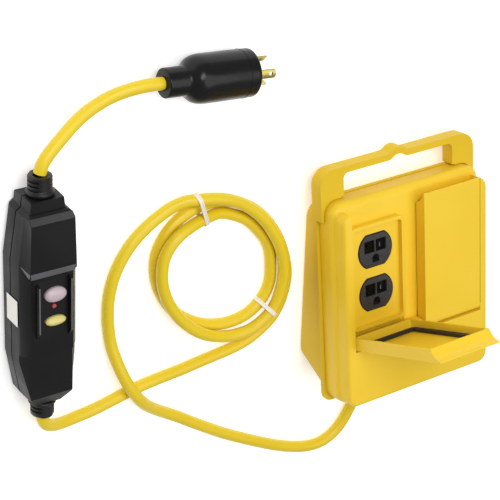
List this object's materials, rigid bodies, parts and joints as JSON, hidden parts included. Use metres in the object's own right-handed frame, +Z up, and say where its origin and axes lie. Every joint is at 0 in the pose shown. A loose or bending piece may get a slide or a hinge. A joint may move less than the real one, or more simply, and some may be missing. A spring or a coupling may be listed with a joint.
{
  "type": "portable outlet box on an in-line ground-fault cord set",
  "caption": "Yellow outlet box with a carry handle and hinged covers, on a short yellow cord with a black ground-fault module and a locking plug.",
  "frame": {"origin": "centre line of the box's flat rest face, on the table", "axes": "+X across the box towards its right outlet, +Y towards the carry handle, +Z up off the table"},
  "size_m": [0.4397, 0.4162, 0.1735],
  "materials": {
    "yellow_shell": "semi-gloss moulded",
    "gasket_rubber": "matte",
    "outlet_black": "satin",
    "steel": "zinc plated",
    "relief_rubber": "satin",
    "case_black": "fine texture",
    "plug_rubber": "satin",
    "carrier_black": "matte",
    "brass": "stamped",
    "cord_yellow": "extruded vinyl",
    "tie_white": "satin",
    "wire_black": "satin",
    "wire_green": "satin",
    "wire_white": "satin",
    "board_green": "satin",
    "ceramic_grey": "matte",
    "copper": "enamelled winding",
    "reset_pink": "satin",
    "test_yellow": "satin",
    "lens_red": "polished",
    "label_white": "satin"
  },
  "bodies": {
    "set": {"blade_carrier": "carrier_black", "circuit_board": "board_green", "contact_block": "ceramic_grey", "cord_clamp": "steel", "cord_coil": "cord_yellow", "cord_gland": "relief_rubber", "cord_tie_lower": "tie_white", "cord_tie_upper": "tie_white", "front_cover": "yellow_shell", "ground_blade": "brass", "ground_jumper": "wire_green", "ground_wire": "wire_green", "hot_blade": "brass", "hot_jumper": "wire_black", "hot_wire": "wire_black", "housing_screw_1": "steel", "housing_screw_2": "steel", "housing_screw_3": "steel", "housing_screw_4": "steel", "indicator_lens": "lens_red", "left_hinge_pin": "steel", "left_receptacle": "outlet_black", "left_strap": "steel", "left_strap_screw_lower": "steel", "left_strap_screw_upper": "steel", "line_cord": "cord_yellow", "line_side_relief": "relief_rubber", "load_cord_feed": "cord_yellow", "load_cord_tail": "cord_yellow", "load_side_relief": "relief_rubber", "module_bottom_case": "case_black", "module_screw_1": "steel", "module_screw_2": "steel", "module_screw_3": "steel", "module_screw_4": "steel", "module_top_case": "case_black", "neutral_blade": "brass", "neutral_jumper": "wire_white", "neutral_wire": "wire_white", "plug_body": "plug_rubber", "rear_housing": "yellow_shell", "reset_spring": "steel", "right_hinge_pin": "steel", "right_receptacle": "outlet_black", "right_strap": "steel", "right_strap_screw_lower": "steel", "right_strap_screw_upper": "steel", "sensing_coil": "ceramic_grey", "side_label": "label_white", "test_spring": "steel", "trip_coil": "copper"},
    "left_lid": {"left_lid": "yellow_shell", "left_lid_gasket": "gasket_rubber"},
    "right_lid": {"right_lid": "yellow_shell", "right_lid_gasket": "gasket_rubber"},
    "reset_button": {"reset_button": "reset_pink"},
    "test_button": {"test_button": "test_yellow"}
  },
  "joints": [
    {"name": "left_lid_hinge", "type": "hinge", "parent": "set", "child": "left_lid", "pos_m": [-0.0375, -0.04917, 0.06326], "axis": [1, 0, 0], "range_deg": [-75, 20]},
    {"name": "right_lid_hinge", "type": "hinge", "parent": "set", "child": "right_lid", "pos_m": [0.0375, -0.04917, 0.06326], "axis": [1, 0, 0], "range_deg": [0, 95]},
    {"name": "reset_button_slide", "type": "slide", "parent": "set", "child": "reset_button", "axis": [0, 0, -1], "range_m": [0, 0.002], "stiffness_N_per_m": 500, "springref_m": -0.001, "deforming": ["reset_spring"]},
    {"name": "test_button_slide", "type": "slide", "parent": "set", "child": "test_button", "axis": [0, 0, -1], "range_m": [0, 0.002], "stiffness_N_per_m": 500, "springref_m": -0.001, "deforming": ["test_spring"]}
  ]
}
